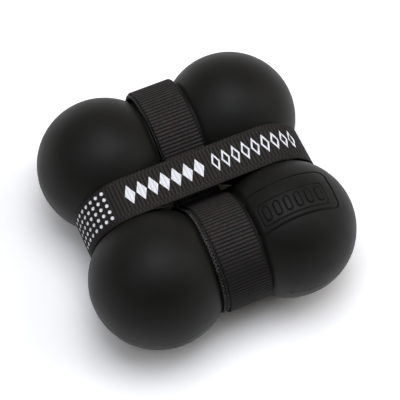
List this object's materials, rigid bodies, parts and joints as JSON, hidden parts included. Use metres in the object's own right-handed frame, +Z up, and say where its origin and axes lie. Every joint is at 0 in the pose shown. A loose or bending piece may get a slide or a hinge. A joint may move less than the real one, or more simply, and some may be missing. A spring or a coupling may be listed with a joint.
{
  "type": "spine massage roller",
  "caption": "Spine massage roller: two hollow double-ball pairs side by side, joined by a sewn webbing band and held by a closing strap with a peel-open end.",
  "frame": {"origin": "on the floor, below the middle of the roller", "axes": "+X along each ball pair and along the closing strap, +Y from the near pair to the far pair along the band, +Z up from the floor"},
  "size_m": [0.1526, 0.1536, 0.0758],
  "materials": {
    "shell": "matte moulded",
    "webbing": "cross-ribbed polyester webbing",
    "thread": "polyester sewing thread",
    "loop_tape": "brushed loop pile",
    "hook_tape": "woven hook tape"
  },
  "bodies": {
    "straps": {"band_outer_ply": "webbing", "band_inner_ply": "webbing", "band_needle_thread": "thread", "band_bobbin_thread": "thread", "closing_strap": "webbing", "loop_patch": "loop_tape", "loop_patch_stitching": "thread"},
    "far_pair": {"far_pair_upper_shell": "shell", "far_pair_lower_shell": "shell"},
    "near_pair": {"near_pair_upper_shell": "shell", "near_pair_lower_shell": "shell"},
    "free_end": {"closing_tab": "webbing", "hook_patch": "hook_tape", "hook_patch_stitching": "thread"}
  },
  "joints": [
    {"name": "far_pair_turn", "type": "hinge", "parent": "straps", "child": "far_pair", "pos_m": [0, 0.03885, 0.0378], "axis": [1, 0, 0], "continuous": true},
    {"name": "near_pair_turn", "type": "hinge", "parent": "straps", "child": "near_pair", "pos_m": [0, -0.03885, 0.0378], "axis": [1, 0, 0], "continuous": true},
    {"name": "free_end_peel", "type": "hinge", "parent": "straps", "child": "free_end", "pos_m": [0.0554, 0, 0.01035], "axis": [0, 1, 0], "range_deg": [0, 70]}
  ]
}
